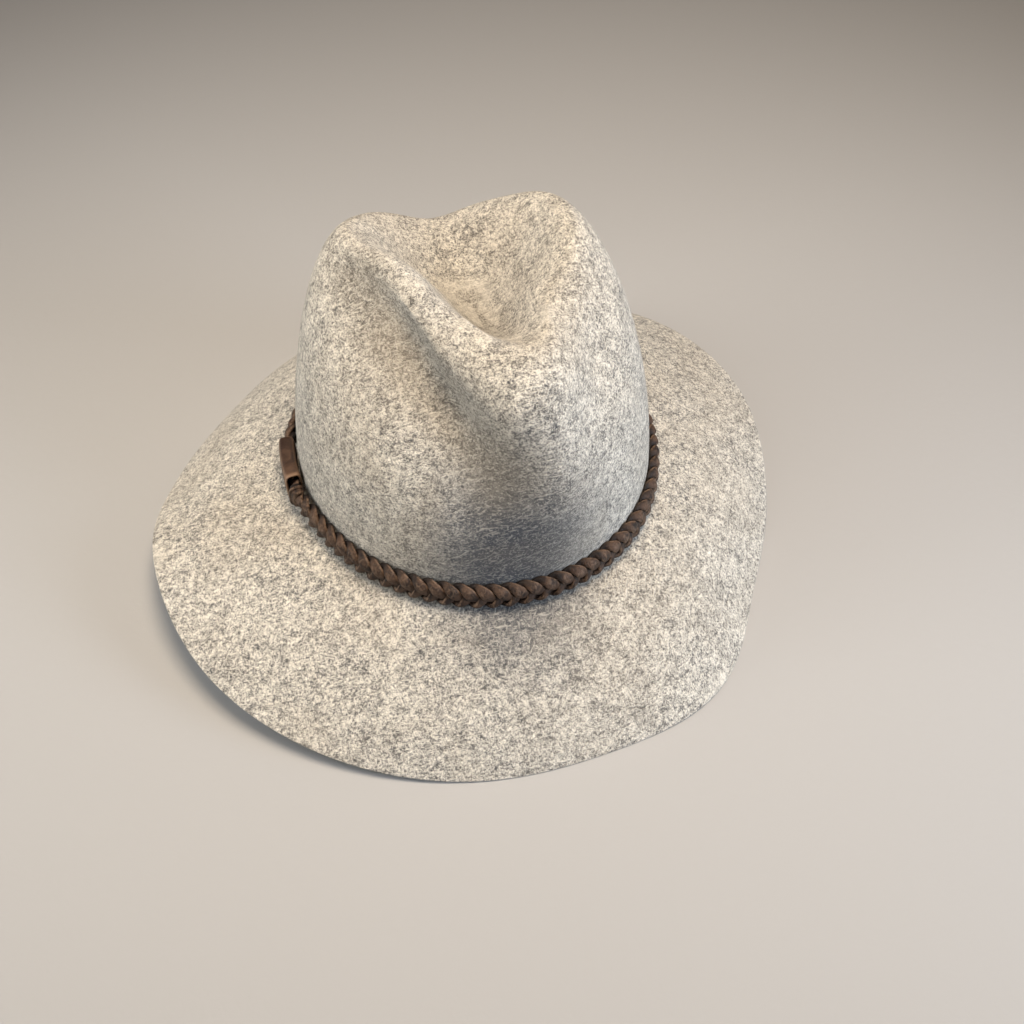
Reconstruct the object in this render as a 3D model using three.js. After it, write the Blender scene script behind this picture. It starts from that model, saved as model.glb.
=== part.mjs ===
// A wool felt fedora with a pinched teardrop crown and a plaited leather lace band.
// Units are millimetres. The front of the hat looks along -Y, +X is on the right as seen
// from the front, and +Z is up. Angles round the hat start at the front and run by +X.

import * as THREE from 'three';

// Felt body
const CROWN_HALF_WIDTH = 87;
const CROWN_HALF_LENGTH = 96;
const CROWN_HEIGHT = 114;
const BRIM_WIDTH = 79.5;
const BRIM_START_SLOPE = -12;
const FELT_THICKNESS = 2.4;
const TOP_DENT_DEPTH = 31;
const SIDE_DENT_DEPTH = 10;
const REST_FLAT_HEIGHT = 2.6;

// Where the crest lies over the base oval, as shares of the half width and half length
const CREST_SHIFT_RIGHT = 0.087;
const CREST_SHIFT_BACK = 0.084;
const DENT_FLOOR_BACK = 0.085;

// Plaited band, its keeper sleeve and the lace turn at the keeper's mouth
const BAND_HEIGHT = 14;
const BAND_DEPTH = 5;
const BAND_GAP = 0.35;
const LACE_WIDTH = 4.5;
const LACE_THICKNESS = 1.7;
const PLAIT_REPEAT_LENGTH = 22;
const STRANDS = 3;
const KEEPER_LENGTH = 27;
const KEEPER_WALL = 1.2;
const KEEPER_GAP = 0.4;
const KEEPER_ANGLE = 262;
const LACE_TURN_LENGTH = 7;
const LACE_TURN_BULGE = 0.9;
const BAND_LIFT_RUN = 22;

// Facets
const FELT_SEGMENTS = 64;
const BRIM_STEPS = 6;
const WALL_STEPS = 13;
const TOP_STEPS = 6;
const PLAIT_STEPS = 7;
const LACE_SIDES = 4;
const SLEEVE_SIDES = 16;

// Brim, a row every 22.5 degrees: slope at the cut edge in degrees, width as a share
const BRIM_ROWS = [
  { slope: -48, width: 0.97 },
  { slope: -44, width: 1.02 },
  { slope: -53, width: 0.93 },
  { slope: -40, width: 0.94 },
  { slope: -19, width: 0.98 },
  { slope: -18, width: 1.01 },
  { slope: -30, width: 1.0 },
  { slope: -44, width: 1.0 },
  { slope: -48, width: 0.99 },
  { slope: -50, width: 0.97 },
  { slope: -48, width: 0.96 },
  { slope: -32, width: 0.98 },
  { slope: -4, width: 1.0 },
  { slope: -16, width: 1.05 },
  { slope: -32, width: 1.03 },
  { slope: -44, width: 1.0 },
];

// Crown, a row every 30 degrees: reach of the crest as a share of the base oval, its
// height as a share of the crown height, power of the wall's outline (2 is an ellipse,
// more is boxier) and power of the fall into the top dent (less is steeper at the crest)
const CROWN_ROWS = [
  { reach: 0.66, height: 1.0, boxy: 2.6, fall: 0.62 },
  { reach: 0.43, height: 0.99, boxy: 2.15, fall: 0.75 },
  { reach: 0.46, height: 1.035, boxy: 1.95, fall: 0.85 },
  { reach: 0.53, height: 1.065, boxy: 1.85, fall: 0.9 },
  { reach: 0.62, height: 1.02, boxy: 1.85, fall: 0.9 },
  { reach: 0.61, height: 0.91, boxy: 1.85, fall: 1.0 },
  { reach: 0.57, height: 0.85, boxy: 1.85, fall: 1.1 },
  { reach: 0.69, height: 0.95, boxy: 1.85, fall: 1.0 },
  { reach: 0.65, height: 1.06, boxy: 1.85, fall: 0.9 },
  { reach: 0.44, height: 1.085, boxy: 1.85, fall: 0.85 },
  { reach: 0.4, height: 1.05, boxy: 1.9, fall: 0.75 },
  { reach: 0.45, height: 0.995, boxy: 2.1, fall: 0.65 },
];

// Folds pressed into the crown's wall, and the swell over the band at the front. Each runs
// round the hat through its rows: at in degrees, rise of its deepest line as a share of the
// wall from the break to the crest, its spread below and above that line in the same share,
// depth as a share of SIDE_DENT_DEPTH, less than 0 where the felt swells out
const LEFT_FOLD = [
  { at: 240, rise: 0.78, below: 0.14, above: 0.1, depth: 0 },
  { at: 262, rise: 0.75, below: 0.16, above: 0.11, depth: 0.6 },
  { at: 288, rise: 0.71, below: 0.19, above: 0.12, depth: 1.25 },
  { at: 308, rise: 0.66, below: 0.2, above: 0.125, depth: 1.65 },
  { at: 326, rise: 0.57, below: 0.2, above: 0.13, depth: 1.6 },
  { at: 340, rise: 0.46, below: 0.22, above: 0.15, depth: 1.25 },
  { at: 352, rise: 0.38, below: 0.24, above: 0.18, depth: 0.75 },
  { at: 366, rise: 0.34, below: 0.2, above: 0.18, depth: 0 },
];
const RIGHT_FOLD = [
  { at: 5, rise: 0.5, below: 0.15, above: 0.15, depth: 0 },
  { at: 20, rise: 0.54, below: 0.14, above: 0.14, depth: 0.25 },
  { at: 40, rise: 0.66, below: 0.13, above: 0.13, depth: 0.4 },
  { at: 62, rise: 0.78, below: 0.11, above: 0.11, depth: 0.35 },
  { at: 85, rise: 0.84, below: 0.1, above: 0.1, depth: 0 },
];
const FRONT_SWELL = [
  { at: 318, rise: 0.3, below: 0.17, above: 0.16, depth: 0 },
  { at: 334, rise: 0.28, below: 0.17, above: 0.16, depth: -0.2 },
  { at: 350, rise: 0.26, below: 0.17, above: 0.16, depth: -0.35 },
  { at: 366, rise: 0.26, below: 0.17, above: 0.16, depth: -0.3 },
  { at: 382, rise: 0.26, below: 0.17, above: 0.16, depth: 0 },
];
const WALL_FOLDS = [LEFT_FOLD, RIGHT_FOLD, FRONT_SWELL];

const rad = THREE.MathUtils.degToRad;
const smooth = (x) => THREE.MathUtils.smoothstep(x, 0, 1);

// Smooth curve through rows that stand at equal angles round the hat
function around(rows, column, angle) {
  const place = (((angle / (2 * Math.PI)) % 1) + 1) % 1 * rows.length;
  const i = Math.floor(place);
  const t = place - i;
  const value = (k) => rows[(k + rows.length) % rows.length][column];
  const [a, b, c, d] = [value(i - 1), value(i), value(i + 1), value(i + 2)];
  const slope = (c - a) * t;
  const bend = (2 * a - 5 * b + 4 * c - d) * t * t;
  return b + 0.5 * (slope + bend + (3 * b - a - 3 * c + d) * t * t * t);
}

// Point and outward normal of the crown's base oval
function oval(angle, grow = 0) {
  const x = (CROWN_HALF_WIDTH + grow) * Math.sin(angle);
  const y = -(CROWN_HALF_LENGTH + grow) * Math.cos(angle);
  return new THREE.Vector3(x, y, 0);
}

function ovalNormal(angle) {
  const x = CROWN_HALF_LENGTH * Math.sin(angle);
  const y = -CROWN_HALF_WIDTH * Math.cos(angle);
  return new THREE.Vector3(x, y, 0).normalize();
}

// Upper side of the brim, an arc from the break at 0 to the cut edge at 1
function brimPoint(angle, share) {
  const start = rad(BRIM_START_SLOPE);
  const end = rad(around(BRIM_ROWS, 'slope', angle));
  const turn = (end - start) * share;
  const length = BRIM_WIDTH * around(BRIM_ROWS, 'width', angle) * share;
  const chord = Math.abs(turn) < 1e-6 ? length : (length * Math.sin(turn / 2)) / (turn / 2);
  const slope = start + turn / 2;
  const point = oval(angle).addScaledVector(ovalNormal(angle), chord * Math.cos(slope));
  return point.setZ(chord * Math.sin(slope));
}

function crestPoint(angle) {
  const reach = around(CROWN_ROWS, 'reach', angle);
  const point = oval(angle).multiplyScalar(reach);
  point.x += CREST_SHIFT_RIGHT * CROWN_HALF_WIDTH;
  point.y += CREST_SHIFT_BACK * CROWN_HALF_LENGTH;
  return point.setZ(CROWN_HEIGHT * around(CROWN_ROWS, 'height', angle));
}

// Value of a fold's column at an angle in degrees, eased from row to row
function foldValue(fold, column, at) {
  const i = Math.min(Math.max(fold.findIndex((row) => row.at > at), 1), fold.length - 1);
  const [before, after] = [fold[i - 1], fold[i]];
  const share = smooth((at - before.at) / (after.at - before.at));
  return THREE.MathUtils.lerp(before[column], after[column], share);
}

// How far the folds push the wall in at a place; they end above the band
function foldDepth(angle, rise, height) {
  let depth = 0;
  for (const fold of WALL_FOLDS) {
    const start = fold[0].at;
    const at = start + THREE.MathUtils.euclideanModulo(THREE.MathUtils.radToDeg(angle) - start, 360);
    if (at > fold[fold.length - 1].at) continue;
    const past = rise - foldValue(fold, 'rise', at);
    const off = past / foldValue(fold, past > 0 ? 'above' : 'below', at);
    depth += foldValue(fold, 'depth', at) * Math.exp(-off * off);
  }
  return SIDE_DENT_DEPTH * depth * smooth((height - BAND_HEIGHT) / BAND_HEIGHT);
}

// Crown's wall, from the break at 0 to the crest at 1
function wallPoint(angle, rise) {
  const quarter = (rise * Math.PI) / 2;
  const power = 2 / around(CROWN_ROWS, 'boxy', angle);
  const up = Math.sin(quarter) ** power;
  const lean = 1 - Math.max(Math.cos(quarter), 0) ** power;
  const crest = crestPoint(angle);
  const height = crest.z * up;
  const point = oval(angle).lerp(crest.setZ(0), lean).setZ(height);
  return point.addScaledVector(ovalNormal(angle), -foldDepth(angle, rise, height));
}

// Top of the crown, from the crest at 0 down to the floor of the dent at 1
function dentFloor() {
  const x = CREST_SHIFT_RIGHT * CROWN_HALF_WIDTH;
  const y = (CREST_SHIFT_BACK + DENT_FLOOR_BACK) * CROWN_HALF_LENGTH;
  return new THREE.Vector3(x, y, CROWN_HEIGHT - TOP_DENT_DEPTH);
}

function topPoint(angle, share) {
  const crest = crestPoint(angle);
  const drop = 0.5 - 0.5 * Math.cos(Math.PI * share ** around(CROWN_ROWS, 'fall', angle));
  const height = THREE.MathUtils.lerp(crest.z, dentFloor().z, drop);
  return crest.lerp(dentFloor(), share).setZ(height);
}

// Closed solid through rings of points; with no ends the last ring joins the first,
// otherwise each end ring closes on its own point
function solidFromRings(rings, ends) {
  const sides = rings[0].length;
  const points = rings.flat().concat(ends ?? []);
  const faces = [];
  const steps = ends ? rings.length - 1 : rings.length;
  for (let i = 0; i < steps; i += 1) {
    const next = ((i + 1) % rings.length) * sides;
    for (let k = 0; k < sides; k += 1) {
      const side = (k + 1) % sides;
      faces.push([i * sides + k, i * sides + side, next + side]);
      faces.push([i * sides + k, next + side, next + k]);
    }
  }
  if (ends) {
    const last = (rings.length - 1) * sides;
    for (let k = 0; k < sides; k += 1) {
      const side = (k + 1) % sides;
      faces.push([side, k, points.length - 2]);
      faces.push([last + k, last + side, points.length - 1]);
    }
  }
  return outwardGeometry(points, faces);
}

// Indexed geometry whose faces point out, whichever way its rings were listed
function outwardGeometry(points, faces) {
  const volume = faces.reduce((sum, [a, b, c]) => {
    const across = new THREE.Vector3().crossVectors(points[b], points[c]);
    return sum + points[a].dot(across);
  }, 0);
  const index = faces.map(([a, b, c]) => (volume > 0 ? [a, b, c] : [a, c, b]));
  const geometry = new THREE.BufferGeometry().setFromPoints(points);
  geometry.setIndex(index.flat());
  geometry.computeVertexNormals();
  return geometry;
}

// Upper skin of the felt, ring by ring from the brim's cut edge to the dent in the top
function feltSkin() {
  const rings = [];
  const ring = (pointAt) => {
    const turn = (k) => (k / FELT_SEGMENTS) * 2 * Math.PI;
    rings.push(Array.from({ length: FELT_SEGMENTS }, (_, k) => pointAt(turn(k))));
  };
  for (let i = BRIM_STEPS; i > 0; i -= 1) ring((angle) => brimPoint(angle, i / BRIM_STEPS));
  for (let i = 0; i <= WALL_STEPS; i += 1) ring((angle) => wallPoint(angle, i / WALL_STEPS));
  for (let i = 1; i < TOP_STEPS; i += 1) ring((angle) => topPoint(angle, i / TOP_STEPS));
  return rings;
}

// Normals of the upper skin, pointing up and out of the felt
function skinNormals(rings) {
  return rings.map((ring, i) => ring.map((_, k) => {
    const inner = rings[Math.min(i + 1, rings.length - 1)][k];
    const outer = rings[Math.max(i - 1, 0)][k];
    const along = new THREE.Vector3().subVectors(inner, outer);
    const before = ring[(k + ring.length - 1) % ring.length];
    const across = new THREE.Vector3().subVectors(ring[(k + 1) % ring.length], before);
    return across.cross(along).normalize();
  }));
}

function feltBody() {
  const upper = feltSkin();
  const normals = skinNormals(upper);
  const lower = upper.map((ring, i) => ring.map((point, k) => (
    point.clone().addScaledVector(normals[i][k], -FELT_THICKNESS)
  )));
  const floor = dentFloor();
  const under = floor.clone().setZ(floor.z - FELT_THICKNESS);
  const rings = [...upper.slice().reverse(), ...lower];
  const rest = Math.min(...rings.flat().map((point) => point.z)) + REST_FLAT_HEIGHT;
  for (const point of rings.flat()) point.z = Math.max(point.z, rest);
  return solidFromRings(rings, [floor, under]);
}

// Path of the band round the crown, by arc length from the middle of the keeper
function bandPath() {
  const middle = BAND_GAP + BAND_DEPTH / 2;
  const samples = 720;
  const path = [{ angle: rad(KEEPER_ANGLE), run: 0 }];
  for (let i = 1; i <= samples; i += 1) {
    const before = path[i - 1];
    const angle = rad(KEEPER_ANGLE) + (i / samples) * 2 * Math.PI;
    const step = oval(angle, middle).distanceTo(oval(before.angle, middle));
    path.push({ angle, run: before.run + step });
  }
  return path;
}

const PATH = bandPath();
const BAND_RUN = PATH[PATH.length - 1].run;
const SLEEVE_CLEARANCE = BAND_GAP + KEEPER_WALL + KEEPER_GAP;
const LACE_TURN_RUN = KEEPER_LENGTH / 2 + LACE_TURN_LENGTH / 2 + BAND_GAP;
const SLEEVE_END_RUN = LACE_TURN_RUN + LACE_TURN_LENGTH / 2;

function angleAtRun(run) {
  const wrapped = THREE.MathUtils.euclideanModulo(run, BAND_RUN);
  const i = Math.max(PATH.findIndex((sample) => sample.run > wrapped), 1);
  const [a, b] = [PATH[i - 1], PATH[i]];
  return THREE.MathUtils.lerp(a.angle, b.angle, (wrapped - a.run) / (b.run - a.run));
}

// Gap of the band to the crown and to the brim; the sleeves hold the band further off
function clearance(run) {
  const wrapped = THREE.MathUtils.euclideanModulo(run + BAND_RUN / 2, BAND_RUN) - BAND_RUN / 2;
  const past = wrapped > 0 ? wrapped - SLEEVE_END_RUN : -wrapped - KEEPER_LENGTH / 2;
  return THREE.MathUtils.lerp(SLEEVE_CLEARANCE, BAND_GAP, smooth(past / BAND_LIFT_RUN));
}

// Place beside the crown: run along the band, distance out from the wall, height
function bandPoint(run, out, height) {
  const angle = angleAtRun(run);
  return oval(angle).addScaledVector(ovalNormal(angle), out).setZ(height);
}

// One lace of the plait, weaving over and under the other two
function laceStrand(strand) {
  const repeats = Math.round(BAND_RUN / PLAIT_REPEAT_LENGTH);
  const steps = repeats * PLAIT_STEPS;
  const sway = (BAND_HEIGHT - LACE_WIDTH) / 2;
  const weave = (BAND_DEPTH - LACE_THICKNESS) / 2;
  const phase = (strand / STRANDS) * 2 * Math.PI;
  const centre = (i) => {
    const run = (i / steps) * BAND_RUN;
    const turn = (i / PLAIT_STEPS) * 2 * Math.PI + phase;
    const out = clearance(run) + BAND_DEPTH / 2 + weave * Math.sin(2 * turn);
    return bandPoint(run, out, clearance(run) + BAND_HEIGHT / 2 + sway * Math.sin(turn));
  };
  const rings = Array.from({ length: steps }, (_, i) => {
    const along = centre(i + 1).sub(centre(i - 1)).normalize();
    const out = ovalNormal(angleAtRun((i / steps) * BAND_RUN));
    out.addScaledVector(along, -out.dot(along)).normalize();
    const side = new THREE.Vector3().crossVectors(along, out);
    return Array.from({ length: LACE_SIDES }, (__, k) => {
      const turn = (k / LACE_SIDES) * 2 * Math.PI;
      return centre(i)
        .addScaledVector(side, (LACE_WIDTH / 2) * Math.cos(turn))
        .addScaledVector(out, (LACE_THICKNESS / 2) * Math.sin(turn));
    });
  });
  return solidFromRings(rings);
}

// Rounded outline of a sleeve round the band, at a gap from it, in out and height; its
// outer side stands proud by a bulge
function sleeveOutline(gap, bulge) {
  const halfDepth = BAND_DEPTH / 2 + gap;
  const halfHeight = BAND_HEIGHT / 2 + gap;
  const roundness = 0.5;
  return Array.from({ length: SLEEVE_SIDES }, (_, k) => {
    const turn = (k / SLEEVE_SIDES) * 2 * Math.PI;
    const [c, s] = [Math.cos(turn), Math.sin(turn)];
    const across = (halfDepth + (c > 0 ? bulge : 0)) * Math.sign(c) * Math.abs(c) ** roundness;
    const up = halfHeight * Math.sign(s) * Math.abs(s) ** roundness;
    return {
      out: SLEEVE_CLEARANCE + BAND_DEPTH / 2 + across,
      height: SLEEVE_CLEARANCE + BAND_HEIGHT / 2 + up,
    };
  });
}

// Sleeve with open ends, through stations that hold run, gap and bulge
function sleeve(inside, outside) {
  const ring = ({ run, gap, bulge = 0 }) => sleeveOutline(gap, bulge).map(({ out, height }) => (
    bandPoint(run, out, height)
  ));
  return solidFromRings([...inside, ...outside.slice().reverse()].map(ring));
}

function keeper() {
  const steps = 4;
  const stations = Array.from({ length: steps + 1 }, (_, i) => (i / steps - 0.5) * KEEPER_LENGTH);
  const inside = stations.map((run) => ({ run, gap: KEEPER_GAP }));
  const outside = stations.map((run) => ({ run, gap: KEEPER_GAP + KEEPER_WALL }));
  return sleeve(inside, outside);
}

function laceTurn() {
  const shares = [-0.5, -0.25, 0, 0.25, 0.5];
  const stations = shares.map((share) => LACE_TURN_RUN + share * LACE_TURN_LENGTH);
  const inside = stations.map((run) => ({ run, gap: KEEPER_GAP }));
  const outside = shares.map((share, i) => (
    { run: stations[i], gap: KEEPER_GAP + KEEPER_WALL, bulge: LACE_TURN_BULGE * (1 - (2 * share) ** 2) }
  ));
  return sleeve(inside, outside);
}

function mesh(name, geometry, color, roughness) {
  const material = new THREE.MeshStandardMaterial({ color, roughness, metalness: 0 });
  const part = new THREE.Mesh(geometry, material);
  part.name = name;
  return part;
}

const FELT_GREY = 0xc3b8a8;
const LACE_BROWN = 0x463228;
const KEEPER_BROWN = 0x5c4336;

const felt = mesh('felt_body', feltBody(), FELT_GREY, 0.95);
const hat = new THREE.Group();
hat.add(felt);
for (let strand = 0; strand < STRANDS; strand += 1) {
  hat.add(mesh(`braid_strand_${strand + 1}`, laceStrand(strand), LACE_BROWN, 0.55));
}
hat.add(mesh('keeper', keeper(), KEEPER_BROWN, 0.4));
hat.add(mesh('lace_turn', laceTurn(), LACE_BROWN, 0.5));

// The hat rests on the plane Z = 0, centred over the origin
const box = new THREE.Box3().setFromBufferAttribute(felt.geometry.getAttribute('position'));
const middle = box.getCenter(new THREE.Vector3());
hat.position.set(-middle.x, -middle.y, -box.min.z);

export default hat;
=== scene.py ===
"""Grey heathered felt fedora with a plaited leather band, its keeper and a lace turn."""

import logging
import math
from dataclasses import dataclass, field
from enum import Enum
from typing import Iterable, Sequence, Union

import bmesh
import bpy
from mathutils import Matrix, Vector
from mathutils.kdtree import KDTree

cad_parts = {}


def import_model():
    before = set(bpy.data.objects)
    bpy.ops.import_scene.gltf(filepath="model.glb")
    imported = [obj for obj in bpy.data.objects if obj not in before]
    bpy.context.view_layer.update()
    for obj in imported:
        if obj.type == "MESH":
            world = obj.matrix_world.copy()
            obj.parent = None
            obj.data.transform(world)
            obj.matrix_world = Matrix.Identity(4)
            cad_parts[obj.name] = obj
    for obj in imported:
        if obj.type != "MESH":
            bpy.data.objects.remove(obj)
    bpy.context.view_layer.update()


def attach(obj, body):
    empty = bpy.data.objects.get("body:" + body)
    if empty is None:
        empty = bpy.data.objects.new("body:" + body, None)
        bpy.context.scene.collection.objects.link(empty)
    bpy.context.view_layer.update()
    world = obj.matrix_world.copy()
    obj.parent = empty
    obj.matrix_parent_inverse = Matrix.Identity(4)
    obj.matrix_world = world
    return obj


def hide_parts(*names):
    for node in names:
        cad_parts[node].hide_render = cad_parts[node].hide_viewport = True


log = logging.getLogger("fedora")

Number = Union[float, int, "Value"]
Triple = tuple[float, float, float]
Colour = Triple
Range = tuple[float, float]

# Numbers of a Mix node's colour sockets, whose names repeat for each kind of data.
MIX_SHARE, MIX_FIRST, MIX_SECOND, MIX_RESULT = 0, 6, 7, 2


def held(share: float) -> float:
    """Holds a share between 0 and 1."""
    return min(max(share, 0.0), 1.0)


def rounded(part: float, power: float) -> float:
    """Rounds an oval towards a box or a lens.

    Args:
        part: sine or cosine of the turn round the oval.
        power: below 1 towards a box, above 1 towards a lens.

    Returns:
        The part raised to the power, with its sign kept.
    """
    return math.copysign(abs(part) ** power, part)


class Trait(Enum):
    """Names of the values that a piece stores on its vertices for its finish."""

    RIM = "rim"
    HOLLOW = "hollow"
    ACROSS = "across"
    DEPTH = "depth"
    LOW = "low"


class Value:
    """A number that varies over a surface, with Python's operators for its maths."""

    def __init__(self, finish: "Finish", socket: bpy.types.NodeSocket) -> None:
        """Wraps a socket.

        Args:
            finish: the finish whose node tree the socket is in.
            socket: the output that gives the number.
        """
        self.finish = finish
        self.socket = socket

    def maths(self, operation: str, *terms: Number) -> "Value":
        """Adds one Math node.

        Args:
            operation: the node's operation.
            terms: its inputs, in order.

        Returns:
            The node's result.
        """
        sockets = dict(enumerate(terms))
        return self.finish.value("ShaderNodeMath", {"operation": operation}, sockets)

    def __add__(self, other: Number) -> "Value":
        """Sum."""
        return self.maths("ADD", self, other)

    def __radd__(self, other: Number) -> "Value":
        """Sum, the number first."""
        return self.maths("ADD", other, self)

    def __sub__(self, other: Number) -> "Value":
        """Difference."""
        return self.maths("SUBTRACT", self, other)

    def __rsub__(self, other: Number) -> "Value":
        """Difference from a number."""
        return self.maths("SUBTRACT", other, self)

    def __mul__(self, other: Number) -> "Value":
        """Product."""
        return self.maths("MULTIPLY", self, other)

    def most(self, other: Number) -> "Value":
        """The larger of two."""
        return self.maths("MAXIMUM", self, other)

    def between(self, low: float, high: float) -> "Value":
        """Fades from 0 at low to 1 at high.

        Args:
            low: where the fade starts.
            high: where it ends.

        Returns:
            The faded value, smooth at both ends.
        """
        settings = {"interpolation_type": "SMOOTHSTEP"}
        sockets = {"Value": self, "From Min": low, "From Max": high}
        return self.finish.value("ShaderNodeMapRange", settings, sockets)


class Finish:
    """A procedural material under construction: its tree and the few ways to add to it."""

    def __init__(self, name: str) -> None:
        """Starts an empty material.

        Args:
            name: the material's name.
        """
        self.material = bpy.data.materials.new(name)
        self.material.use_nodes = True
        self.tree = self.material.node_tree
        self.tree.nodes.clear()
        self.place = self.node("ShaderNodeTexCoord").outputs["Object"]

    def node(
        self,
        kind: str,
        settings: dict[str, object] | None = None,
        sockets: dict[str | int, object] | None = None,
    ) -> bpy.types.Node:
        """Adds a node.

        Args:
            kind: the node's type.
            settings: its own properties, set before its sockets.
            sockets: values or links by socket name or number.

        Returns:
            The new node.
        """
        made = self.tree.nodes.new(kind)
        for name, setting in (settings or {}).items():
            setattr(made, name, setting)
        for key, given in (sockets or {}).items():
            source = given.socket if isinstance(given, Value) else given
            if isinstance(source, bpy.types.NodeSocket):
                self.tree.links.new(source, made.inputs[key])
            else:
                made.inputs[key].default_value = source
        return made

    def value(self, kind: str, settings: dict, sockets: dict) -> Value:
        """Adds a node whose first output is a number.

        Args:
            kind: the node's type.
            settings: its own properties.
            sockets: values or links of its sockets.

        Returns:
            That output, ready for maths.
        """
        return Value(self, self.node(kind, settings, sockets).outputs[0])

    def trait(self, trait: Trait) -> Value:
        """Reads a value stored on the piece's vertices.

        Args:
            trait: which value.

        Returns:
            The value over the surface.
        """
        made = self.node("ShaderNodeAttribute", {"attribute_name": trait.value})
        return Value(self, made.outputs["Fac"])

    def grain(self, per_metre: float, detail: float = 2.0, rough: float = 0.6, warp: float = 0.0,
              turn: Triple = (0, 0, 0), stretch: Triple = (1, 1, 1)) -> Value:
        """Noise at a real scale.

        Args:
            per_metre: cells in a metre.
            detail: octaves.
            rough: strength of the finer octaves.
            warp: how far the noise is stirred.
            turn: turn of the pattern, in degrees.
            stretch: scale along each turned axis.

        Returns:
            The noise, about 0.5 on average.
        """
        turned = [math.radians(angle) for angle in turn]
        sockets = {"Vector": self.place, "Rotation": turned, "Scale": stretch}
        mapping = self.node("ShaderNodeMapping", {"vector_type": "TEXTURE"}, sockets)
        sockets = {"Vector": mapping.outputs[0], "Scale": per_metre, "Detail": detail}
        sockets |= {"Roughness": rough, "Distortion": warp}
        return self.value("ShaderNodeTexNoise", {}, sockets)

    def mix(self, share: Number, first: object, second: object) -> object:
        """Mixes two colours.

        Args:
            share: share of the second.
            first: colour or socket.
            second: colour or socket.

        Returns:
            The mixed colour's socket.
        """
        def colour(given: object) -> object:
            """A colour with its alpha, or the socket itself."""
            return (*given, 1.0) if isinstance(given, tuple) else given

        sockets = {MIX_SHARE: share, MIX_FIRST: colour(first), MIX_SECOND: colour(second)}
        return self.node("ShaderNodeMix", {"data_type": "RGBA"}, sockets).outputs[MIX_RESULT]

    def relief(self, height: Number, depth: float, below: object = None) -> object:
        """Adds a bump.

        Args:
            height: the height, 0 to 1.
            depth: the real height of 1, in metres.
            below: an earlier bump's normal.

        Returns:
            The bumped normal's socket.
        """
        sockets = {"Height": height, "Distance": depth, "Strength": 1.0}
        if below is not None:
            sockets["Normal"] = below
        return self.node("ShaderNodeBump", {}, sockets).outputs[0]

    def close(self, sockets: dict[str, object]) -> bpy.types.Material:
        """Ends the material in one shader.

        Args:
            sockets: the shader's values and links.

        Returns:
            The finished material.
        """
        shader = self.node("ShaderNodeBsdfPrincipled", {}, sockets)
        self.node("ShaderNodeOutputMaterial", {}, {"Surface": shader.outputs[0]})
        return self.material


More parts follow.
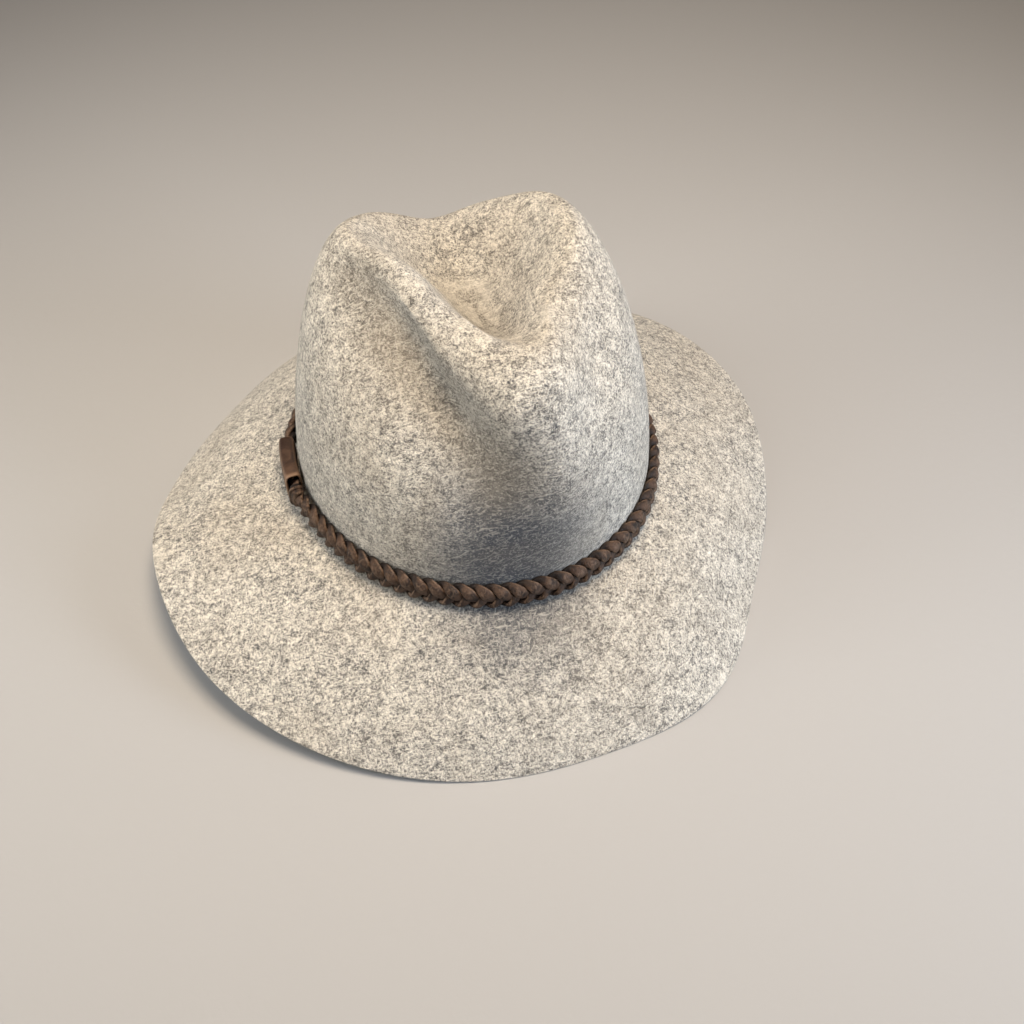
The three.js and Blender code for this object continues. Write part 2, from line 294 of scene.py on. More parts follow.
@dataclass(frozen=True)
class HeatheredFelt:
    """Wool felt of cream, grey and blue-grey fibres, matted in short tufts; painted shade low on
    the front and in creases, painted highlight on the rim.
    """

    cream: Colour = (0.90, 0.855, 0.77)
    grey: Colour = (0.10, 0.098, 0.096)
    slate: Colour = (0.050, 0.057, 0.072)
    straw: Colour = (0.40, 0.33, 0.24)
    # colour of the painted shade in the hollows and along the creases
    shade: Colour = (0.13, 0.115, 0.092)
    fleck_rate: float = 1000
    tuft_rate: float = 300
    clump_rate: float = 95
    patch_rate: float = 22
    fibre_rate: float = 1100
    fibre_stretch: Triple = (1, 1, 5)
    pale_turns: tuple[Triple, ...] = ((80, 0, 20), (85, 0, 80), (75, 30, 140), (20, 60, 10))
    dark_turns: tuple[Triple, ...] = ((85, 10, 50), (80, 0, 110), (95, 20, 170), (-30, 50, 60))
    fleck_share: float = 0.56
    tuft_share: float = 0.32
    clump_share: float = 0.12
    ground_range: Range = (0.39, 0.61)
    dark_range: Range = (0.57, 0.73)
    dark_share: float = 0.62
    # place, size and fade of the painted shade low on the crown's front
    front_shade_middle: Triple = (-0.014, -0.096, 0.066)
    front_shade_reach: Triple = (0.054, 0.054, 0.074)
    front_shade_range: Range = (0.15, 1.15)
    hollow_shade_range: Range = (0.60, 0.92)
    hollow_shade_share: float = 0.55
    stray_range: Range = (0.56, 0.76)
    stray_share: float = 0.60
    stray_less_in_front_shade: float = 0.32
    stray_less_in_hollow_shade: float = 0.15
    warm_range: Range = (0.40, 0.70)
    warm_share: float = 0.15
    rim_highlight_range: Range = (0.2, 0.9)
    rim_highlight_share: float = 0.3
    nap_depth: float = 0.0005
    fibre_range: Range = (0.55, 0.75)
    fibre_depth: float = 0.00025

    def fibres(self, finish: Finish, turns: Sequence[Triple]) -> Value:
        """Short fibres that lie in several ways.

        Args:
            finish: the felt under construction.
            turns: how each layer of fibres is turned, in degrees.

        Returns:
            The layers' highest value.
        """
        layers = [
            finish.grain(self.fibre_rate, 1.0, 0.5, 0.25, turn, self.fibre_stretch)
            for turn in turns
        ]
        top = layers[0]
        for layer in layers[1:]:
            top = top.most(layer)
        return top

    def painted_front_shade(self, finish: Finish) -> Value:
        """Painted blue-grey shade, low on the front of the crown.

        Args:
            finish: the felt under construction.

        Returns:
            1 in the middle, fading to 0 around it.
        """
        sockets = {"Vector": finish.place, "Location": self.front_shade_middle}
        sockets["Scale"] = self.front_shade_reach
        near = finish.node("ShaderNodeMapping", {"vector_type": "TEXTURE"}, sockets)
        far = finish.node("ShaderNodeVectorMath", {"operation": "LENGTH"}, {0: near.outputs[0]})
        return 1 - Value(finish, far.outputs["Value"]).between(*self.front_shade_range)

    def material(self) -> bpy.types.Material:
        """Builds the felt.

        Returns:
            The material.
        """
        finish = Finish("heathered_felt")
        flecks = finish.grain(self.fleck_rate, 4.0, 0.8, 0.2)
        tufts = finish.grain(self.tuft_rate, 3.0, 0.65, 0.6)
        clumps = finish.grain(self.clump_rate, 2.0, 0.5, 0.8)
        patches = finish.grain(self.patch_rate, 2.0, 0.5, 0.5)
        pale = self.fibres(finish, self.pale_turns)
        dark = self.fibres(finish, self.dark_turns)
        blend = flecks * self.fleck_share + tufts * self.tuft_share + clumps * self.clump_share
        painted_front_shade = self.painted_front_shade(finish)
        painted_hollow_shade = finish.trait(Trait.HOLLOW).between(*self.hollow_shade_range)
        ground = finish.mix(blend.between(*self.ground_range), self.grey, self.cream)
        darker = finish.mix(dark.between(*self.dark_range) * self.dark_share, ground, self.slate)
        # painted shade: slate over the low front of the crown
        darker = finish.mix(painted_front_shade, darker, self.slate)
        # painted shade in the dents and along the pinch creases
        darker = finish.mix(painted_hollow_shade * self.hollow_shade_share, darker, self.shade)
        # fewer pale fibres in the painted shade
        kept = self.stray_share - painted_front_shade * self.stray_less_in_front_shade
        kept = kept - painted_hollow_shade * self.stray_less_in_hollow_shade
        lifted = finish.mix(pale.between(*self.stray_range) * kept, darker, self.cream)
        warmth = patches.between(*self.warm_range) * self.warm_share
        toned = finish.mix(warmth, lifted, self.straw)
        # painted highlight along the cut rim
        rim = finish.trait(Trait.RIM).between(*self.rim_highlight_range)
        with_rim_highlight = finish.mix(rim * self.rim_highlight_share, toned, self.cream)
        nap = finish.relief(blend, self.nap_depth)
        nap = finish.relief(pale.between(*self.fibre_range), self.fibre_depth, nap)
        return finish.close({
            "Base Color": with_rim_highlight,
            "Roughness": 0.95,
            "Sheen Weight": 0.15,
            "Sheen Roughness": 0.6,
            "Specular IOR Level": 0.12,
            "Normal": nap,
        })


@dataclass(frozen=True)
class LaceLeather:
    """Dark brown lace leather, dry and dull, rubbed paler on its raised middle and edges; painted
    shade on its lower row and its buried parts.
    """

    brown: Colour = (0.088, 0.050, 0.032)
    # deep: dark of the pores, and of the painted shade
    deep: Colour = (0.014, 0.009, 0.008)
    rubbed: Colour = (0.27, 0.18, 0.125)
    pore_rate: float = 1300
    cloud_rate: float = 210
    streak_rate: float = 700
    streak_stretch: Triple = (1, 1, 2.2)
    cloud_range: Range = (0.30, 0.62)
    pore_range: Range = (0.52, 0.68)
    pore_share: float = 0.55
    lower_shade_range: Range = (0.50, 0.90)
    lower_shade_share: float = 0.60
    buried_shade_range: Range = (0.30, 0.85)
    edge_range: Range = (0.72, 1.0)
    edge_depth_range: Range = (0.3, 0.7)
    edge_streak_range: Range = (0.32, 0.58)
    proud_range: Range = (0.8, 1.0)
    proud_streak_range: Range = (0.42, 0.66)
    proud_share: float = 0.55
    worn_share: float = 0.75
    rough: float = 0.62
    smoothed_range: Range = (0.4, 0.7)
    smoothed: float = 0.12
    pore_depth: float = 0.0004
    streak_depth: float = 0.0005

    def material(self) -> bpy.types.Material:
        """Builds the leather.

        Returns:
            The material.
        """
        finish = Finish("lace_leather")
        pores = finish.grain(self.pore_rate, 3.0, 0.65)
        cloudy = finish.grain(self.cloud_rate, 2.0, 0.5, 0.7)
        streaks = finish.grain(self.streak_rate, 2.0, 0.6, 0.8, stretch=self.streak_stretch)
        outside = finish.trait(Trait.DEPTH)
        low = finish.trait(Trait.LOW).between(*self.lower_shade_range)
        brown = finish.mix(cloudy.between(*self.cloud_range), self.deep, self.brown)
        brown = finish.mix(pores.between(*self.pore_range) * self.pore_share, brown, self.deep)
        # painted shade on the plait's lower row
        brown = finish.mix(low * self.lower_shade_share, brown, self.deep)
        # painted shade on the parts under the weave and facing the crown
        brown = finish.mix(outside.between(*self.buried_shade_range), self.deep, brown)
        edges = finish.trait(Trait.ACROSS).between(*self.edge_range)
        edges = edges * outside.between(*self.edge_depth_range)
        edges = edges * streaks.between(*self.edge_streak_range)
        proud = outside.between(*self.proud_range) * streaks.between(*self.proud_streak_range)
        worn = edges.most(proud * self.proud_share)
        colour = finish.mix(worn * self.worn_share, brown, self.rubbed)
        rough = self.rough - streaks.between(*self.smoothed_range) * self.smoothed
        normal = finish.relief(pores, self.pore_depth)
        normal = finish.relief(streaks, self.streak_depth, normal)
        return finish.close({
            "Base Color": colour,
            "Roughness": rough,
            "Specular IOR Level": 0.32,
            "Normal": normal,
        })


@dataclass(frozen=True)
class KeeperLeather:
    """Smooth vegetable-tanned leather with a burnished, paler edge."""

    brown: Colour = (0.100, 0.054, 0.033)
    deep: Colour = (0.036, 0.019, 0.013)
    rubbed: Colour = (0.34, 0.21, 0.13)
    pore_rate: float = 1900
    cloud_rate: float = 120
    crease_rate: float = 260
    crease_stretch: Triple = (1, 1, 3)
    cloud_range: Range = (0.35, 0.68)
    edge_range: Range = (0.3, 1.0)
    edge_share: float = 0.6
    rough: float = 0.42
    dulled_range: Range = (0.3, 0.7)
    dulled: float = 0.14
    pore_depth: float = 0.00012
    crease_depth: float = 0.00035

    def material(self) -> bpy.types.Material:
        """Builds the leather.

        Returns:
            The material.
        """
        finish = Finish("keeper_leather")
        pores = finish.grain(self.pore_rate, 3.0, 0.6)
        cloudy = finish.grain(self.cloud_rate, 3.0, 0.55, 0.8)
        creases = finish.grain(self.crease_rate, 2.0, 0.6, 1.2, stretch=self.crease_stretch)
        edge = finish.trait(Trait.ACROSS).between(*self.edge_range)
        brown = finish.mix(cloudy.between(*self.cloud_range), self.deep, self.brown)
        colour = finish.mix(edge * self.edge_share, brown, self.rubbed)
        rough = self.rough + cloudy.between(*self.dulled_range) * self.dulled
        normal = finish.relief(pores, self.pore_depth)
        normal = finish.relief(creases, self.crease_depth, normal)
        return finish.close({
            "Base Color": colour,
            "Roughness": rough,
            "Specular IOR Level": 0.5,
            "Normal": normal,
        })


@dataclass(frozen=True)
class PalePaper:
    """Plain pale studio paper for the floor."""

    colour: Colour = (0.46, 0.46, 0.465)
    tooth_rate: float = 260
    tooth_depth: float = 0.0001

    def material(self) -> bpy.types.Material:
        """Builds the paper.

        Returns:
            The material.
        """
        finish = Finish("pale_paper")
        normal = finish.relief(finish.grain(self.tooth_rate), self.tooth_depth)
        return finish.close({"Base Color": (*self.colour, 1.0), "Roughness": 0.9, "Normal": normal})


@dataclass
class Piece:
    """A piece of the hat that is being made: its mesh, its name and what it stands for."""

    name: str
    slot: str
    bm: bmesh.types.BMesh = field(default_factory=bmesh.new)

    def trait(self, trait: Trait) -> bmesh.types.BMLayerItem:
        """The layer of a stored value, made at first use.

        Args:
            trait: which value.

        Returns:
            The mesh's layer for it.
        """
        layers = self.bm.verts.layers.float
        return layers.get(trait.value) or layers.new(trait.value)

    def finish(self, material: bpy.types.Material, nodes: Iterable[str], levels: int) -> None:
        """Turns the mesh into an object that rides on the hat.

        Args:
            material: its finish.
            nodes: the construction's nodes that it stands for.
            levels: levels of its subdivision surface.
        """
        mesh = bpy.data.meshes.new(self.name)
        self.bm.to_mesh(mesh)
        self.bm.free()
        mesh.materials.append(material)
        mesh.shade_smooth()
        made = bpy.data.objects.new(self.name, mesh)
        bpy.context.scene.collection.objects.link(made)
        subdivision = made.modifiers.new("subdivision", "SUBSURF")
        subdivision.levels = levels
        subdivision.render_levels = levels
        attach(made, "root")
        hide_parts(*nodes)
        log.info("%s: %d faces before subdivision", self.name, len(mesh.polygons))


@dataclass(frozen=True)
class Crease:
    """A soft crease pressed into the felt along a line."""

    start: Vector
    end: Vector
    push: Vector
    reach: float

    def nearness(self, place: Vector, wider: float = 1.0) -> float:
        """How near a place is to the crease.

        Args:
            place: a place on the hat.
            wider: factor on the crease's reach.

        Returns:
            1 on the line, fading to 0 around it.
        """
        line = self.end - self.start
        share = held((place - self.start).dot(line) / line.length_squared)
        away = (place - self.start - line * share).length / self.reach / wider
        return math.exp(-away * away)

    def shift(self, place: Vector) -> Vector:
        """How far the crease moves the felt.

        Args:
            place: a place on the hat.

        Returns:
            The move, nothing away from the crease.
        """
        return self.push * self.nearness(place)


def pinch_creases() -> tuple[Crease, ...]:
    """The crease beside the left edge of the crown's dent, down to the front pinch."""
    start, end = Vector((-0.045, 0.010, 0.151)), Vector((-0.024, -0.056, 0.127))
    low = Vector((-0.014, -0.078, 0.104))
    push = Vector((0.0022, 0.0022, -0.0040))
    return (Crease(start, end, push, 0.012), Crease(end, low, push * 0.6, 0.014))


@dataclass(frozen=True)
class HatBase:
    """The crown's base oval, where the brim breaks, and the path of the band round it."""

    centre: Vector = field(default_factory=lambda: Vector((1.743, -0.614, 38.133)) / 1000)
    half_width: float = 0.087
    half_length: float = 0.096
    band_middle: float = 0.00285
    keeper_angle: float = math.radians(262)
    band_height: float = 0.014
    band_depth: float = 0.005
    band_gap: float = 0.00035
    sleeve_gap: float = 0.00195
    lift_run: float = 0.022
    keeper_length: float = 0.027
    turn_length: float = 0.007
    path_steps: int = 720

    def oval(self, angle: float, grow: float = 0.0) -> Vector:
        """A point of the base oval.

        Args:
            angle: 0 at the front, growing to the wearer's left.
            grow: how far out of the oval.

        Returns:
            The point, from the oval's middle.
        """
        x = (self.half_width + grow) * math.sin(angle)
        y = -(self.half_length + grow) * math.cos(angle)
        return Vector((x, y, 0))

    def normal(self, angle: float) -> Vector:
        """The oval's outward normal.

        Args:
            angle: 0 at the front, growing to the wearer's left.

        Returns:
            The normal, level and of length 1.
        """
        x = self.half_length * math.sin(angle)
        y = -self.half_width * math.cos(angle)
        return Vector((x, y, 0)).normalized()

    def path(self) -> list[tuple[float, float]]:
        """Angles and runs along the band, from the middle of the keeper.

        Returns:
            Pairs of angle and run, once round.
        """
        pairs = [(self.keeper_angle, 0.0)]
        for i in range(1, self.path_steps + 1):
            before, run = pairs[-1]
            angle = self.keeper_angle + i / self.path_steps * math.tau
            step = self.oval(angle, self.band_middle) - self.oval(before, self.band_middle)
            pairs.append((angle, run + step.length))
        return pairs


@dataclass
class BandPath:
    """Places beside the crown by run along the band, distance out and height."""

    base: HatBase

    def __post_init__(self) -> None:
        """Measures the path once."""
        self.pairs = self.base.path()
        self.run = self.pairs[-1][1]

    @property
    def turn_run(self) -> float:
        """Run of the lace turn's middle."""
        half = (self.base.keeper_length + self.base.turn_length) / 2
        return half + self.base.band_gap

    def angle(self, run: float) -> float:
        """The angle at a run.

        Args:
            run: distance along the band.

        Returns:
            The angle round the crown.
        """
        wrapped = run % self.run
        for (a, first), (b, second) in zip(self.pairs, self.pairs[1:]):
            if second > wrapped:
                return a + (b - a) * (wrapped - first) / (second - first)
        return self.pairs[-1][0]

    def gap(self, run: float) -> float:
        """Gap of the band to the crown and the brim, wider at the sleeves.

        Args:
            run: distance along the band.

        Returns:
            The gap.
        """
        share = held(self.past(run) / self.base.lift_run)
        eased = share * share * (3 - 2 * share)
        return self.base.sleeve_gap + (self.base.band_gap - self.base.sleeve_gap) * eased

    def past(self, run: float) -> float:
        """How far a run lies past the keeper and the lace turn.

        Args:
            run: distance along the band.

        Returns:
            The distance past them, below 0 inside them.
        """
        wrapped = (run + self.run / 2) % self.run - self.run / 2
        end = self.turn_run + self.base.turn_length / 2
        return wrapped - end if wrapped > 0 else -wrapped - self.base.keeper_length / 2

    def out(self, run: float) -> Vector:
        """The outward direction at a run.

        Args:
            run: distance along the band.

        Returns:
            The direction, level and of length 1.
        """
        return self.base.normal(self.angle(run))

    def point(self, run: float, out: float, height: float) -> Vector:
        """A place beside the crown.

        Args:
            run: distance along the band.
            out: distance out from the crown.
            height: height above the break of the brim.

        Returns:
            The place.
        """
        angle = self.angle(run)
        beside = self.base.oval(angle) + self.base.normal(angle) * out
        return self.base.centre + beside + Vector((0, 0, height))


@dataclass
class FeltBody:
    """Crown and brim in one piece of blocked felt, with a raw-cut rim."""

    node: str = "felt_body"
    creases: tuple[Crease, ...] = field(default_factory=pinch_creases)
    weld: float = 0.000001
    flat: float = math.radians(60)
    skew: float = math.radians(180)
    rim_turn: float = math.radians(55)
    rim_round: float = 0.0007
    rim_face: float = 0.0025
    rim_bend: float = math.radians(12)
    around: float = 0.024
    crease_shade_reach: float = 1.7
    crease_shade_share: float = 0.40
    full_hollow: float = 0.007
    dents_from: float = 0.070
    dents_fade: float = 0.030
    levels: int = 2

    def build(self, material: bpy.types.Material) -> None:
        """Rounds and refines the blocked shape.

        Args:
            material: the felt.
        """
        piece = Piece("felt_hat", "felt")
        bm = piece.bm
        bm.from_mesh(bpy.data.objects[self.node].data)
        bmesh.ops.remove_doubles(bm, verts=bm.verts[:], dist=self.weld)
        bmesh.ops.join_triangles(
            bm, faces=bm.faces[:], angle_face_threshold=self.flat,
            angle_shape_threshold=self.skew,
        )
        rim = piece.trait(Trait.RIM)
        edges = [edge for edge in bm.edges if edge.calc_face_angle(0.0) > self.rim_turn]
        log.info("rim edges: %d, faces: %d", len(edges), len(bm.faces))
        bmesh.ops.bevel(
            bm, geom=edges, offset=self.rim_round, offset_type="OFFSET", segments=2,
            profile=0.5, affect="EDGES", material=-1, clamp_overlap=True,
        )
        # rim vertices take the felt's painted highlight
        for edge in bm.edges:
            if edge.calc_length() < self.rim_face and edge.calc_face_angle(0.0) > self.rim_bend:
                for vert in edge.verts:
                    vert[rim] = 1.0
        for vert in bm.verts:
            vert.co += sum((crease.shift(vert.co) for crease in self.creases), Vector())
        self.mark_hollows(piece)
        piece.finish(material, [self.node], self.levels)

    def mark_hollows(self, piece: Piece) -> None:
        """Stores how far each place of the dents lies below the felt around it, 0.5 where even, and
        at least a set share near the pinch creases, for the felt's painted shade.

        Args:
            piece: the felt under construction.
        """
        bm = piece.bm
        hollow = piece.trait(Trait.HOLLOW)
        bm.normal_update()
        faces = [(face.calc_center_median(), face.calc_area()) for face in bm.faces]
        tree = KDTree(len(faces))
        for number, (centre, _) in enumerate(faces):
            tree.insert(centre, number)
        tree.balance()
        for vert in bm.verts:
            near = [(place, faces[i][1]) for place, i, _ in tree.find_range(vert.co, self.around)]
            area = sum(size for _, size in near)
            middle = sum((place * size for place, size in near), Vector()) / area
            depth = (middle - vert.co).dot(vert.normal)
            share = held((vert.co.z - self.dents_from) / self.dents_fade)
            # near the creases the felt takes painted shade
            pinched = max(crease.nearness(vert.co, self.crease_shade_reach) for crease in self.creases)
            deep = share * depth / self.full_hollow / 2
            vert[hollow] = held(0.5 + max(deep, pinched * self.crease_shade_share))


@dataclass
class Lace:
    """Cross-section of a flat lace with soft edges."""

    width: float
    thickness: float
    sides: int = 12
    softness: float = 0.75
    flatness: float = 0.9

    def section(self) -> list[tuple[float, float, float]]:
        """Points round the lace.

        Returns:
            Across, out and share of the way to the lace's edge.
        """
        points = []
        for i in range(self.sides):
            turn = (i + 0.5) / self.sides * math.tau
            c, s = math.cos(turn), math.sin(turn)
            across = self.width / 2 * rounded(c, self.softness)
            out = self.thickness / 2 * rounded(s, self.flatness)
            points.append((across, out, abs(c) ** self.softness))
        return points


def sweep(
    bm: bmesh.types.BMesh, rings: Sequence[Sequence[Vector]],
) -> list[list[bmesh.types.BMVert]]:
    """Extrudes a ring of vertices through stations and joins the last to the first.

    Args:
        bm: the mesh that grows.
        rings: places of the ring's vertices at each station.

    Returns:
        The vertices of each station.
    """
    verts = [bm.verts.new(place) for place in rings[0]]
    edges = [bm.edges.new(pair) for pair in zip(verts, verts[1:] + verts[:1])]
    stations = [verts]
    first = edges
    for ring in rings[1:]:
        grown = bmesh.ops.extrude_edge_only(bm, edges=edges)["geom"]
        fresh = {vert for vert in grown if isinstance(vert, bmesh.types.BMVert)}
        verts = [next(e.other_vert(v) for e in v.link_edges if e.other_vert(v) in fresh)
                 for v in verts]
        for vert, place in zip(verts, ring):
            vert.co = place
        edges = [bm.edges.get(pair) for pair in zip(verts, verts[1:] + verts[:1])]
        stations.append(verts)
    bmesh.ops.bridge_loops(bm, edges=edges + first)
    bmesh.ops.recalc_face_normals(bm, faces=bm.faces[:])
    return stations


@dataclass
class PlaitedBand:
    """Flat plait of three laces round the crown."""

    path: BandPath
    lace: Lace = field(default_factory=lambda: Lace(0.0070, 0.0028))
    repeat: float = 0.022
    fold: float = 0.40
    fullness: float = 0.10
    pinch: float = 0.22
    slim: float = 0.50
    drop: float = 0.0010
    gather: float = 0.28
    gather_run: float = 0.008
    sag: float = 0.0010
    dwell: float = 0.22
    tuck: float = 0.0012
    lower_tuck: float = 0.4
    nest: float = 0.7
    lean: float = 0.75
    weave_tone: float = 0.32
    round_tone: float = 0.18
    steps: int = 20
    strands: int = 3
    levels: int = 1

    def centre(self, run: float, turn: float) -> Vector:
        """Middle of a lace.

        Args:
            run: distance along the band.
            turn: phase of the lace.

        Returns:
            Its place.
        """
        base = self.path.base
        gap = self.path.gap(run)
        sway = (base.band_height - self.lace.width * (1 - self.fold)) / 2
        weave = (base.band_depth - self.lace.thickness * self.nest) / 2
        rise = self.rise(turn)
        tuck = self.tuck * rise ** 2 * (1.0 if rise > 0 else self.lower_tuck)
        out = gap + base.band_depth / 2 - weave * math.sin(2 * turn) - tuck
        tight = held(1 - self.path.past(run) / self.gather_run)
        sway *= 1 - self.gather * tight
        drop = self.drop * (1 - rise ** 2) + self.sag * tight
        return self.path.point(run, out, gap + base.band_height / 2 + sway * rise - drop)

    def rise(self, turn: float) -> float:
        """Height of a lace in the plait.

        Args:
            turn: phase of the lace.

        Returns:
            The height, from -1 at the plait's lower edge to 1 at its upper edge.
        """
        return math.sin(turn + self.dwell * math.sin(2 * turn))

    def breadth(self, turn: float) -> float:
        """Breadth of a lace, folded at the plait's edges and drawn in at the crossings.

        Args:
            turn: phase of the lace.

        Returns:
            The breadth as a share of the lace's width.
        """
        rise = self.rise(turn)
        folded = self.fold * abs(rise) ** 3
        drawn = self.pinch * (1 - rise ** 2)
        return 1 - folded - drawn - self.slim * max(-rise, 0.0) - self.fullness * math.sin(2 * turn)

    def strand(self, number: int, material: bpy.types.Material) -> None:
        """Builds one lace.

        Args:
            number: which of the laces.
            material: the leather.
        """
        piece = Piece(f"plait_lace_{number + 1}", "lace_leather")
        repeats = round(self.path.run / self.repeat)
        count = repeats * self.steps
        phase = number / self.strands * math.tau
        section = self.lace.section()
        rings, weaves = [], []
        for i in range(count):
            run = i / count * self.path.run
            step = self.path.run / count
            turn = i / self.steps * math.tau + phase
            before = self.centre(run - step, turn - math.tau / self.steps)
            after = self.centre(run + step, turn + math.tau / self.steps)
            middle = self.centre(run, turn)
            along = (after - before).normalized()
            out = self.path.out(run) + Vector((0, 0, self.lean * self.rise(turn)))
            out = (out - along * out.dot(along)).normalized()
            side = along.cross(out)
            over = -math.sin(2 * turn)
            breadth = self.breadth(turn)
            rings.append([middle + side * a * breadth + out * o for a, o, _ in section])
            weaves.append((over, 0.5 - 0.5 * math.sin(turn)))
        across, depth, low = (piece.trait(t) for t in (Trait.ACROSS, Trait.DEPTH, Trait.LOW))
        stations = sweep(piece.bm, rings)
        for verts, (weave, lowness) in zip(stations, weaves):
            for vert, (_, out, share) in zip(verts, section):
                vert[across] = share
                # depth: painted shade where low, under the weave and on the face towards the crown;
                # rubbed wear where high
                lift = self.round_tone * out / self.lace.thickness * 2
                vert[depth] = 0.5 + self.weave_tone * weave + lift
                # lowness drives the painted shade on the plait's lower row
                vert[low] = lowness
        piece.finish(material, [f"braid_strand_{number + 1}"], self.levels)

    def build(self, material: bpy.types.Material) -> None:
        """Builds the laces.

        Args:
            material: the leather.
        """
        for number in range(self.strands):
            self.strand(number, material)


@dataclass
class Sleeve:
    """Rounded outline of a sleeve round the band, at a gap from it."""

    path: BandPath
    sides: int = 28
    roundness: float = 0.5

    def ring(self, run: float, gap: float, bulge: float = 0.0, slant: float = 0.0) -> list[Vector]:
        """One station of a sleeve.

        Args:
            run: distance along the band.
            gap: distance from the band.
            bulge: how far its outer side stands proud.
            slant: run gained from its lower to its upper side.

        Returns:
            Places round the station.
        """
        base = self.path.base
        deep = base.band_depth / 2 + gap
        high = base.band_height / 2 + gap
        places = []
        for i in range(self.sides):
            turn = i / self.sides * math.tau
            c, s = math.cos(turn), math.sin(turn)
            reach = deep + (bulge if c > 0 else 0.0)
            across = reach * rounded(c, self.roundness)
            up = high * rounded(s, self.roundness)
            out = base.sleeve_gap + base.band_depth / 2 + across
            height = base.sleeve_gap + base.band_height / 2 + up
            places.append(self.path.point(run + slant * up / high / 2, out, height))
        return places


@dataclass
class Keeper:
    """Plain leather sleeve over the join of the band, with rounded open ends."""

    path: BandPath
    wall: float = 0.0012
    clear: float = 0.0004
    stations: int = 9
    lip: float = 0.0004
    corner_wear: float = 0.7
    levels: int = 2

    def build(self, material: bpy.types.Material) -> None:
        """Builds the sleeve.

        Args:
            material: the leather.
        """
        piece = Piece("keeper_sleeve", "keeper_leather")
        length = self.path.base.keeper_length
        sleeve = Sleeve(self.path)
        shares = [i / (self.stations - 1) - 0.5 for i in range(self.stations)]
        inside = [sleeve.ring(share * length, self.clear) for share in shares]
        ends = length - 2 * self.lip
        outside = [sleeve.ring(share * ends, self.clear + self.wall) for share in reversed(shares)]
        middle = self.clear + self.wall / 2
        far = sleeve.ring(length / 2, middle + self.wall / 4)
        near = sleeve.ring(-length / 2, middle + self.wall / 4)
        rings = [*inside, far, *outside, near]
        edge = piece.trait(Trait.ACROSS)
        stations = sweep(piece.bm, rings)
        ends_at = {self.stations - 1, self.stations, self.stations + 1, len(rings) - 1, 0}
        for number, verts in enumerate(stations):
            for i, vert in enumerate(verts):
                corner = abs(math.sin(2 * math.tau * i / sleeve.sides)) ** 3
                vert[edge] = 1.0 if number in ends_at else self.corner_wear * corner
        piece.finish(material, ["keeper"], self.levels)


@dataclass
class LaceTurn:
    """End of a lace wrapped once round the plait at the keeper's mouth, curled and slanted."""

    path: BandPath
    snug: float = -0.0024
    swell: float = 0.0026
    bulge: float = 0.0014
    length: float = 0.0076
    onward: float = 0.0012
    slant: float = 0.0026
    groove: float = 0.0004
    grooves: float = 2.5
    wall: float = 0.0006
    inner_share: float = 0.8
    lit_depth: float = 0.75
    shaded_depth: float = 0.25
    shaded_until: float = -0.2
    steps: int = 14
    levels: int = 1

    def build(self, material: bpy.types.Material) -> None:
        """Builds the turn.

        Args:
            material: the leather.
        """
        piece = Piece("lace_turn_wrap", "lace_leather")
        sleeve = Sleeve(self.path)
        middle = self.path.turn_run + self.onward
        inner = []
        for share in (-0.5, 0.0, 0.5):
            run = middle + share * self.length * self.inner_share
            inner.append(sleeve.ring(run, self.snug - self.wall, slant=self.slant))
        outer, shares = [], [0.5 - i / self.steps for i in range(self.steps + 1)]
        for share in shares:
            round_over = math.sqrt(max(1 - (2 * share) ** 2, 0.0))
            ridge = self.groove * math.cos(share * self.grooves * math.tau)
            gap = self.snug + (self.swell + ridge) * round_over
            run = middle + share * self.length
            outer.append(sleeve.ring(run, gap, self.bulge * round_over, self.slant))
        across, depth = piece.trait(Trait.ACROSS), piece.trait(Trait.DEPTH)
        stations = sweep(piece.bm, inner + outer)
        # painted shade: the turn's inner wall darkest
        for verts in stations[:len(inner)]:
            for vert in verts:
                vert[depth] = 0.0
        for verts, share in zip(stations[len(inner):], shares):
            for vert in verts:
                vert[across] = 0.5 + 0.5 * math.cos(share * self.grooves * math.tau)
                # painted shade: the end at the keeper's mouth darker, the rest lit
                lit = share > self.shaded_until
                vert[depth] = self.lit_depth if lit else self.shaded_depth
        piece.finish(material, ["lace_turn"], self.levels)


@dataclass(frozen=True)
class Lamp:
    """A square soft light: its place, side, power, colour and the width of its beam."""

    name: str
    place: Triple
    size: float
    watts: float
    colour: Colour
    beam_degrees: float = 180

    def hang(self, aim: Vector) -> None:
        """Hangs the light.

        Args:
            aim: where it points.
        """
        data = bpy.data.lights.new(self.name, "AREA")
        data.spread = math.radians(self.beam_degrees)
        data.size = self.size
        data.energy = self.watts
        data.color = self.colour
        made = bpy.data.objects.new(self.name, data)
        place = Vector(self.place)
        made.location = place
        made.rotation_euler = (aim - place).to_track_quat("-Z", "Y").to_euler()
        bpy.context.scene.collection.objects.link(made)


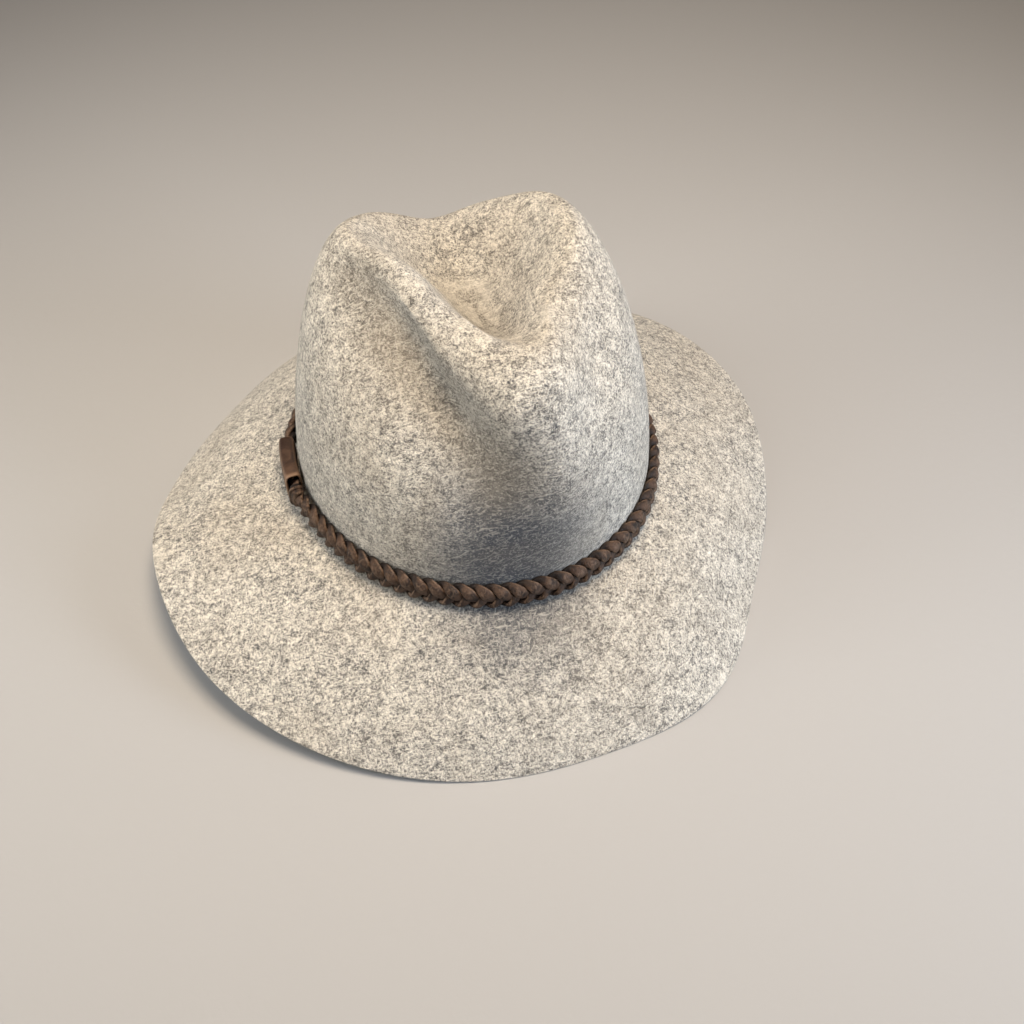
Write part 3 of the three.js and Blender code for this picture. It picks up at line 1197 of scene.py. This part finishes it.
@dataclass(frozen=True)
class Studio:
    """Plain floor, soft light from above and the camera at the photograph's angle."""

    base: HatBase
    lamps: tuple[Lamp, ...] = (
        Lamp("left", (-0.600, 0.050, 0.700), 0.45, 1.9, (0.92, 0.96, 1.0)),
        Lamp("left_low", (-0.880, 0.120, 0.300), 0.4, 1.15, (1.0, 0.96, 0.86), 100),
        Lamp("overhead", (0.060, -0.080, 0.980), 0.4, 9.3, (1.0, 0.82, 0.62)),
        Lamp("right", (0.640, -0.640, 0.320), 0.45, 2.4, (0.80, 0.89, 1.0), 100),
    )
    aim: Triple = (0, 0, 0.08)
    sky: Colour = (0.70, 0.80, 1.0)
    sky_strength: float = 0.03
    floor_half: float = 3.0
    floor_cells: int = 8
    sensor_mm: float = 36
    pixels: int = 1024
    elevation: float = 46.7
    yaw: float = 19.3
    roll: float = 2.0
    distance: float = 0.565
    pixels_per_mm: float = 1.96
    frame_middle: tuple[float, float] = (471.7, 449.2)

    def floor(self) -> None:
        """Lays the floor."""
        bm = bmesh.new()
        cells = self.floor_cells
        bmesh.ops.create_grid(bm, x_segments=cells, y_segments=cells, size=self.floor_half)
        mesh = bpy.data.meshes.new("floor")
        bm.to_mesh(mesh)
        bm.free()
        mesh.materials.append(PalePaper().material())
        made = bpy.data.objects.new("floor", mesh)
        bpy.context.scene.collection.objects.link(made)

    def light(self) -> None:
        """Sets the lights and the sky's fill."""
        for lamp in self.lamps:
            lamp.hang(Vector(self.aim))
        world = bpy.data.worlds.new("studio")
        world.use_nodes = True
        background = world.node_tree.nodes["Background"]
        background.inputs["Color"].default_value = (*self.sky, 1.0)
        background.inputs["Strength"].default_value = self.sky_strength
        bpy.context.scene.world = world
        bpy.context.scene.view_settings.view_transform = "Standard"

    def camera(self) -> None:
        """Places the camera."""
        e, yaw, roll = (math.radians(v) for v in (self.elevation, self.yaw, self.roll))
        right = Vector((math.cos(yaw), -math.sin(yaw), 0))
        up = Vector((math.sin(yaw) * math.sin(e), math.cos(yaw) * math.sin(e), math.cos(e)))
        back = right.cross(up)
        turned = right * math.cos(roll) - up * math.sin(roll)
        raised = right * math.sin(roll) + up * math.cos(roll)
        data = bpy.data.cameras.new("camera")
        data.sensor_width = self.sensor_mm
        data.lens = self.sensor_mm * self.pixels_per_mm * self.distance * 1000 / self.pixels
        data.shift_x = (self.pixels / 2 - self.frame_middle[0]) / self.pixels
        data.shift_y = -(self.pixels / 2 - self.frame_middle[1]) / self.pixels
        made = bpy.data.objects.new("camera", data)
        spot = self.base.centre + back * self.distance
        columns = Matrix((turned, raised, back)).transposed().to_4x4()
        made.matrix_world = Matrix.Translation(spot) @ columns
        bpy.context.scene.collection.objects.link(made)
        bpy.context.scene.camera = made

    def build(self) -> None:
        """Sets the whole stage."""
        self.camera()
        self.floor()
        self.light()


def main() -> None:
    """Builds the hat in order."""
    logging.basicConfig(level=logging.INFO, format="%(name)s: %(message)s")
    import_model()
    base = HatBase()
    path = BandPath(base)
    Studio(base).build()
    FeltBody().build(HeatheredFelt().material())
    lace = LaceLeather().material()
    PlaitedBand(path).build(lace)
    Keeper(path).build(KeeperLeather().material())
    LaceTurn(path).build(lace)


if __name__ == "__main__":
    main()
